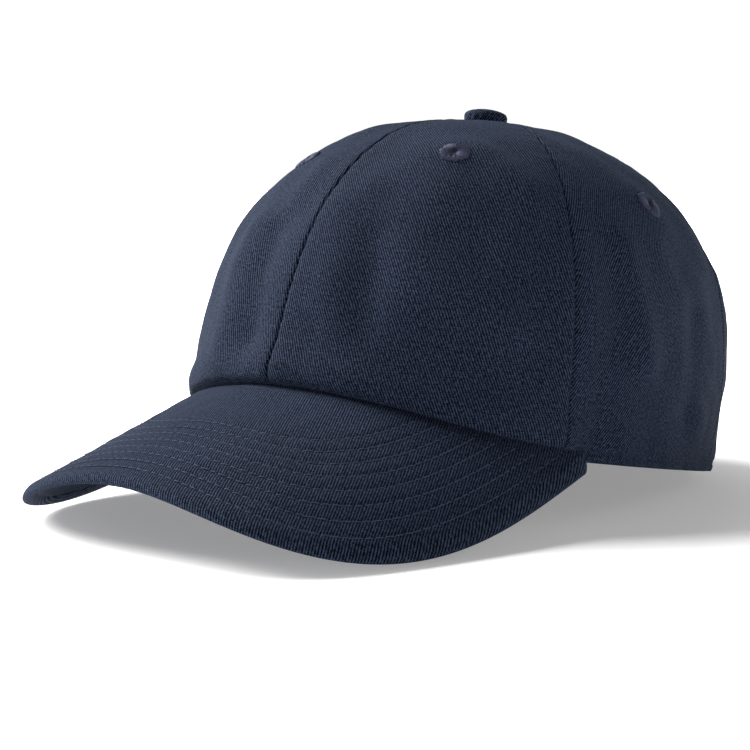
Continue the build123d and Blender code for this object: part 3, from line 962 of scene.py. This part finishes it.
def make_button():
    """Cloth-covered button: a thick disc with a rounded edge, pulled tight over its core."""
    radius, height, sink, edge = 7.7, 6.2, 0.5, 1.5
    base = crown_point(0.0, 1.0)[2] - sink
    around = np.linspace(0, 2 * math.pi, 160, endpoint=False)
    profile = [(r, height + sink - 1.5 * (r / radius) ** 2.4)
               for r in np.linspace(0.25, radius - edge, 26)]
    last_r, last_z = profile[-1]
    for bend in np.radians(np.linspace(20, 100, 9)):
        drop = 1.7 * (1 - math.cos(bend))
        profile.append((last_r + edge * math.sin(bend), last_z - drop - 0.15))
    profile += [(radius - 0.15, 2.1), (radius - 0.6, 1.0), (radius - 1.4, 0.2)]
    profile = np.array(profile)
    ring = profile[:, 0:1]
    gather = 0.05 * np.sin(around * 17 + 1.5 * np.sin(around * 3))[None]
    reach = ring + gather * np.clip((ring - 5.2) / 2, 0, 1)
    x = reach * np.cos(around)
    y = reach * np.sin(around)
    z = np.broadcast_to(profile[:, 1:2], x.shape)
    points = np.stack([x, APEX_SHIFT + y, base + z], -1)
    cloth = np.stack([x + 0.9 * (height - z), y + 0.5 * z], -1)
    piece = tube("top_button_cloth", points[::-1], cloth[::-1])
    finish_piece(piece, "button_twill", lit_button_cloth, "top_button_cover")


make_button()


# ---- inside of the crown


def hem_angle_at(x, depth):
    """Angle from the front at which the back of the hem lies at that x."""
    low, high = 90.0, 180.0
    for _ in range(40):
        middle = (low + high) / 2
        if crown_point(middle, 0.0, depth)[0] > x:
            low = middle
        else:
            high = middle
    return low


def band_grid(half_angle, bottom, top, depth, columns, rows):
    """Angles and shares of a band inside the crown between two heights above its hem."""
    angles = np.linspace(-half_angle, half_angle, columns)
    low = share_at(angles, bottom, arch_open=False, depth=depth)
    high = share_at(angles, top, arch_open=False, depth=depth)
    shares = low + (high - low) * np.linspace(0, 1, rows)[:, None]
    return np.broadcast_to(angles, shares.shape), shares


band_end = hem_angle_at(BAND_OPEN_X, 4.0)


def make_sweatband():
    angle, share = band_grid(band_end, 0, BAND_HEIGHT, BAND_DEPTHS[0], 420, 34)
    outer, inner = (crown_point(angle, share, depth) for depth in BAND_DEPTHS)
    normals = crown_normal(angle, share)
    lengths = grid_lengths(inner)
    relief = 0.15 * soft_waves.at(inner) + 0.12 * small_waves.at(inner)
    for seam in BAND_SEAMS:
        relief -= 0.25 * bell(lengths[..., 1] - seam, 0.8)
    face = inner - normals * relief[..., None]
    piece = slab("sweatband_cloth", outer, face, lengths)
    finish_piece(piece, "sweatband_twill", band_cloth, "sweatband")
    declare_sheet(piece)
    runs = [(face[row], -normals[row]) for row in (4, 24)]
    stitch_piece("sweatband_stitching", runs, "sweatband_twill", cap_thread)


make_sweatband()


def make_padding():
    """Thin foam behind the front of the sweatband, thinner towards its edges."""
    angle, share = band_grid(FOAM_HALF_ANGLE, *FOAM_HEIGHTS, FOAM_DEPTHS[0], 200, 16)
    outer, inner = (crown_point(angle, share, depth) for depth in FOAM_DEPTHS)
    squeeze = 0.35 * np.abs(np.linspace(-1, 1, len(outer))[:, None, None]) ** 4
    face = outer * (1 - squeeze) + inner * squeeze
    back = inner * (1 - squeeze) + outer * squeeze
    piece = slab("sweatband_foam", face, back, grid_lengths(face))
    finish_piece(piece, "foam", foam, "sweatband_padding")


make_padding()


def make_binding():
    """Bias tape folded over the sweatband's upper edge."""
    angle, share = band_grid(band_end, *BINDING_HEIGHTS, BINDING_EDGE_DEPTH, 420, 12)
    normals = crown_normal(angle, share)
    middle = crown_point(angle, share, BINDING_DEPTH)
    crimp = 0.06 * np.sin(np.arange(angle.shape[1]) * 2.1) + 0.1 * soft_waves.at(middle[0])
    lower = list(middle + normals * BINDING_HALF)
    upper = list(middle - normals * (BINDING_HALF + crimp[:, None]))
    rise = unit(middle[-1] - middle[-2])
    fold = [
        middle[-1] + (normals[-1] * math.cos(bend) + rise * math.sin(bend)) * BINDING_HALF
        for bend in np.radians(np.linspace(20, 160, 6))
    ]
    sections = np.stack(lower + fold + upper[::-1], 1)
    around = np.arange(sections.shape[1]) * 0.8
    steps = np.diff(middle[0], axis=0, prepend=middle[0][:1])
    along = np.cumsum(np.linalg.norm(steps, axis=1))
    cloth = np.stack(np.broadcast_arrays(along[:, None], around[None]), -1)
    piece = tube("sweatband_binding_tape", sections[:, ::-1], cloth[:, ::-1])
    finish_piece(piece, "binding_tape", binding_cloth, "sweatband_binding")
    line = middle[4] - normals[4] * (BINDING_HALF + 0.05)
    stitch_piece("binding_stitching", [(line, -normals[4])], "binding_tape", cap_thread)


make_binding()


def make_seam_tape(name, node, angle, depths, arch_margin=None):
    """Tape over a seam from hem to hem, inside the crown."""
    middle_depth = sum(depths) / 2
    lines, ups = [], []
    for turn in (angle, angle + 180):
        raised = TAPE_CLEARANCE if abs(turn) < 90 else 0.0
        low = float(share_at(np.array(turn), raised, arch_open=False, depth=middle_depth))
        if arch_margin is not None and turn == 180:
            low = (ARCH_HEIGHT + arch_margin) / (CROWN_HEIGHT - middle_depth)
        shares = low + (0.9993 - low) * np.sin(np.linspace(0, math.pi / 2, 150))
        turns = np.full(len(shares), turn)
        lines.append(crown_point(turns, shares, middle_depth))
        ups.append(crown_normal(turns, np.minimum(shares, 0.998)))
    line = np.concatenate([lines[0], lines[1][::-1]])[:, None]
    up = np.concatenate([ups[0], ups[1][::-1]])[:, None]
    across = np.array([math.cos(math.radians(angle)), math.sin(math.radians(angle)), 0.0])
    width = np.linspace(-TAPE_HALF_WIDTH, TAPE_HALF_WIDTH, 13)
    grid = line + across * width[None, :, None] - up * (width**2 / 180)[None, :, None]
    grid = grid + up * (FOLD_STRENGTH * fold_relief(grid) - TAPE_SETBACK)[..., None]
    thick = (depths[1] - depths[0]) / 2 + 0.05
    ridge = 0.09 * bell(np.abs(width) - 4.2, 1.2)[None, :, None]
    ripple = (RIPPLE * small_waves.at(grid))[..., None]
    inner = grid - up * (thick + ridge + ripple)
    lengths = grid_lengths(grid)
    piece = slab(name, grid + up * thick, inner, lengths[..., ::-1])
    finish_piece(piece, "seam_tape", tape_cloth, node)
    declare_sheet(piece)
    runs = [(inner[3:-3, column], -up[3:-3, 0]) for column in (2, 10)]
    stitch_piece(name + "_stitching", runs, "seam_tape", cap_thread)


make_seam_tape("seam_tape_center_cloth", "seam_tape_center", 0.0, (0.75, 1.0), ARCH_TAPE_WIDTH)
for side, other, angle, depths in (
    ("left", "right", GORE, (1.05, 1.3)),
    ("right", "left", -GORE, (1.35, 1.6)),
):
    node = f"seam_tape_{side}_front_to_{other}_back"
    make_seam_tape(f"seam_tape_{side}_front_cloth", node, angle, depths)


def back_surface(x, z, depth):
    """Point on the back of the crown at a place seen from behind."""
    share = z / (CROWN_HEIGHT - depth)
    _, side, back, centre = outline_sizes(share, depth)
    y = centre + back * np.sqrt(1 - (x / side) ** 2)
    return np.stack([x, y, z], -1)


def back_normal(x, z):
    step = 0.2
    across = back_surface(x + step, z, 0) - back_surface(x - step, z, 0)
    upwards = back_surface(x, z + step, 0) - back_surface(x, np.maximum(z - step, 0), 0)
    return unit(np.cross(upwards, across))


def make_arch_tape():
    turn = np.linspace(0.0, math.pi, 200)
    margin = np.linspace(-0.3, ARCH_TAPE_WIDTH, 10)[:, None]
    x = (ARCH_HALF_WIDTH + margin) * np.cos(turn)
    z = (ARCH_HEIGHT + margin) * np.sin(turn)
    outer, inner = (back_surface(x, z, depth) for depth in ARCH_TAPE_DEPTHS)
    normals = back_normal(x, z)
    inner = inner - normals * (RIPPLE * small_waves.at(inner))[..., None]
    piece = slab("back_opening_tape_cloth", outer, inner, grid_lengths(inner))
    finish_piece(piece, "seam_tape", tape_cloth, "back_opening_tape")
    runs = [(inner[row], -normals[row]) for row in (1, 8)]
    stitch_piece("back_opening_tape_stitching", runs, "seam_tape", cap_thread)


make_arch_tape()


def make_label():
    """Blank care label, sewn under the sweatband's end."""
    x, z = np.meshgrid(np.linspace(*LABEL_X, 20), np.linspace(*LABEL_Z, 18))
    normals = back_normal(x, z)
    curl = 0.5 * ((LABEL_Z[1] - z) / LABEL_Z[1]) ** 2 + 0.12 * np.sin(x * 0.5)
    face = back_surface(x, z, LABEL_DEPTH) - normals * curl[..., None]
    lengths = grid_lengths(face)
    half = normals * LABEL_HALF_THICKNESS
    piece = slab("care_label_cloth", face + half, face - half, lengths)
    finish_piece(piece, "label_cloth", label_cloth, "care_label")
    declare_sheet(piece)


make_label()


# ---- strap and buckle


def strap_point(angle, across, offset):
    """Point of the strap: angle from straight back, height about its middle, offset outwards."""
    radius = STRAP_RADIUS + offset + across * STRAP_FLARE
    return np.stack([
        radius * np.sin(np.radians(angle)),
        STRAP_AXIS_Y + radius * np.cos(np.radians(angle)),
        STRAP_MIDDLE + across + 0 * radius,
    ], -1)


def strap_normal(angle):
    return unit(np.stack([np.sin(np.radians(angle)), np.cos(np.radians(angle)),
                          np.full_like(angle, -STRAP_FLARE)], -1))


def make_strap():
    angles = np.linspace(-STRAP_HALF_ANGLE, STRAP_HALF_ANGLE, 190)
    half, thick = STRAP_WIDTH / 2, STRAP_THICKNESS / 2
    places = [(w, thick) for w in np.linspace(-half + thick, half - thick, 44)]
    for bend in np.radians((30, 60, 90, 120, 150)):
        places.append((half - thick + thick * math.sin(bend), thick * math.cos(bend)))
    places = np.concatenate([np.array(places), -np.array(places)])
    across = np.broadcast_to(places[:, 0], (len(angles), len(places)))
    groove = 0.14 * bell(np.abs(places[:, 0]) - STRAP_SEAM, 0.6)
    offset = np.broadcast_to(places[:, 1] - groove * np.sign(places[:, 1]), across.shape)
    turn = np.broadcast_to(angles[:, None], across.shape)
    cloth = np.stack([np.radians(turn) * STRAP_RADIUS, across], -1)
    piece = tube("strap_cloth", strap_point(turn, across, offset), cloth)
    finish_piece(piece, "strap_twill", strap_cloth, "strap", body="strap")
    declare_sheet(piece)
    line = np.linspace(-STRAP_HALF_ANGLE + 1, STRAP_HALF_ANGLE - 1, 240)
    runs = []
    for height in (-STRAP_SEAM, STRAP_SEAM):
        for face in (1, -1):
            points = strap_point(line, np.full_like(line, height), face * (thick - 0.12))
            runs.append((points, strap_normal(line) * face))
    stitch_piece("strap_stitching", runs, "strap_twill", cap_thread, body="strap")


make_strap()


def make_loop():
    """Cloth tab that holds the buckle's bar, sewn flat to the inside of the strap's tail."""
    bar_angle = BUCKLE_ANGLE + math.degrees(math.atan2(BAR_ALONG, STRAP_RADIUS + BAR_OUT))
    bar_reach = math.hypot(BAR_ALONG, STRAP_RADIUS + BAR_OUT) - STRAP_RADIUS
    path = [(a, LOOP_OFFSET) for a in np.linspace(LOOP_START, bar_angle - 1.1, 60)]
    for bend in np.radians(np.linspace(200, -110, 34)):
        swing = math.degrees(LOOP_RADIUS * math.cos(bend) / (STRAP_RADIUS + bar_reach))
        path.append((bar_angle + swing, bar_reach + LOOP_RADIUS * math.sin(bend)))
    width = np.linspace(-LOOP_HALF_WIDTH, LOOP_HALF_WIDTH, 30)
    angle, offset, across = np.broadcast_arrays(*np.array(path).T[..., None], width)
    middle = strap_point(angle, across, offset)
    half = unit(np.cross(np.gradient(middle, axis=0), np.gradient(middle, axis=1)))
    half = half * LOOP_HALF_THICKNESS
    lengths = grid_lengths(middle)
    piece = slab("buckle_loop_cloth", middle + half, middle - half, lengths)
    finish_piece(piece, "strap_twill", strap_cloth, "buckle_loop")
    declare_sheet(piece)


make_loop()


def repaint(node, material):
    """Gives a CAD piece whose shape is right a better finish."""
    piece = frame["nodes"][node]
    for material_slot in piece.material_slots:
        material_slot.material = material
    return piece


def soften(piece, width):
    """Breaks the sharp edges of a metal piece."""
    bevel = piece.modifiers.new("worn_edges", "BEVEL")
    bevel.width = width * MM
    bevel.segments = 3
    bevel.limit_method = "ANGLE"
    bevel.angle_limit = math.radians(40)


for node, material, slot_name, worn in (
    ("buckle_frame", brass, "buckle_brass", 0.15),
    ("buckle_lever", brass, "lever_brass", 0.12),
    ("buckle_pin", steel, "pin_steel", 0.1),
    ("top_button_rivet", alloy, "button_metal", 0.08),
    ("top_button_core", alloy, "button_metal", 0),
    ("brim_board", board_plastic, "board_plastic", 0),
):
    cad_piece = repaint(node, material)
    if worn:
        soften(cad_piece, worn)


# ---- camera, light and floor


CAMERA_AZIMUTH = math.radians(40.99)
CAMERA_ELEVATION = math.radians(5.80)
CAMERA_PLACE = np.array([382.6, -476.5, 86.4])
CAMERA_LENS = 83.58
FIT_PITCH = math.radians(-0.5)


def make_camera():
    """Camera at the fitted viewing angle, given in a frame tipped half a degree from the row's."""
    az, el = CAMERA_AZIMUTH, CAMERA_ELEVATION
    back = np.array([math.sin(az) * math.cos(el), -math.cos(az) * math.cos(el), math.sin(el)])
    right = np.array([math.cos(az), math.sin(az), 0])
    up = np.cross(back, right)
    c, s = math.cos(FIT_PITCH), math.sin(FIT_PITCH)
    tip = np.array([[1, 0, 0], [0, c, -s], [0, s, c]])
    data = bpy.data.cameras.new("camera")
    data.lens = CAMERA_LENS
    data.sensor_width = 36
    data.clip_start = 0.01
    rows = [[*(tip @ axis), 0] for axis in (right, up, back)]
    matrix = Matrix(rows + [[0, 0, 0, 1]]).transposed()
    matrix.translation = Vector(CAP_ORIGIN + (tip @ CAMERA_PLACE) * MM)
    camera = link_object("camera", data)
    camera.matrix_world = matrix
    bpy.context.scene.camera = camera


def add_light(name, kind, direction, place=(0, 0, 0), **settings):
    """Light that shines from a direction in the part's own frame."""
    data = bpy.data.lights.new(name, kind)
    for key, value in settings.items():
        setattr(data, key, value)
    light = link_object(name, data)
    light.location = place
    light.rotation_euler = Vector(direction).to_track_quat("Z", "Y").to_euler()


RIM_PLACE = (0.85, 0.95, 0.5)
RIM_TARGET = (0, 0, 0.07)
KEY_DIRECTION = (-0.76, -0.20, 0.66)

make_camera()
add_light("rim", "AREA", Vector(RIM_PLACE) - Vector(RIM_TARGET), RIM_PLACE, shape="SQUARE",
          size=0.6, energy=2.0)
add_light("key", "SUN", KEY_DIRECTION, energy=7.2, angle=math.radians(40))


def make_world():
    """Even studio surround: white near the horizon and dimmer overhead."""
    world = bpy.data.worlds.new("studio")
    world.use_nodes = True
    tree = world.node_tree
    direction = tree.nodes.new("ShaderNodeTexCoord")
    split = tree.nodes.new("ShaderNodeSeparateXYZ")
    ramp = tree.nodes.new("ShaderNodeMapRange")
    set_inputs(ramp, From_Min=0.12, From_Max=0.2, To_Min=1.02, To_Max=0.08)
    tree.links.new(direction.outputs["Generated"], split.inputs[0])
    tree.links.new(split.outputs[2], ramp.inputs["Value"])
    tree.links.new(ramp.outputs[0], tree.nodes["Background"].inputs[1])
    tree.nodes["Background"].inputs[0].default_value = (1, 1, 1, 1)
    bpy.context.scene.world = world


make_world()
bpy.context.scene.view_settings.view_transform = "Standard"


def make_floor():
    """Pale paper that glows a little away from the cap, so that its shadow fades out."""
    size = 40.0
    mesh = bpy.data.meshes.new("floor")
    corners = [(-size, -size, 0), (size, -size, 0), (size, size, 0), (-size, size, 0)]
    mesh.from_pydata(corners, [], [(0, 1, 2, 3)])
    floor = link_object("floor", mesh)
    n = Nodes("floor_paper")
    n.set(Base_Color=(0.92, 0.905, 0.90, 1), Emission_Color=(1, 1, 1, 1), Roughness=0.9,
          Specular_IOR_Level=0.1)
    place = n.add("ShaderNodeTexCoord").outputs["Object"]
    distance = n.add("ShaderNodeVectorMath", operation="LENGTH")
    n.link(place, distance.inputs[0])
    glow = n.add("ShaderNodeMapRange", interpolation_type="SMOOTHSTEP")
    set_inputs(glow, From_Min=0.10, From_Max=0.24, To_Min=0.28, To_Max=1.0)
    n.link(distance.outputs["Value"], glow.inputs["Value"])
    n.link(glow.outputs[0], n.shader.inputs["Emission Strength"])
    mesh.materials.append(n.material)


make_floor()
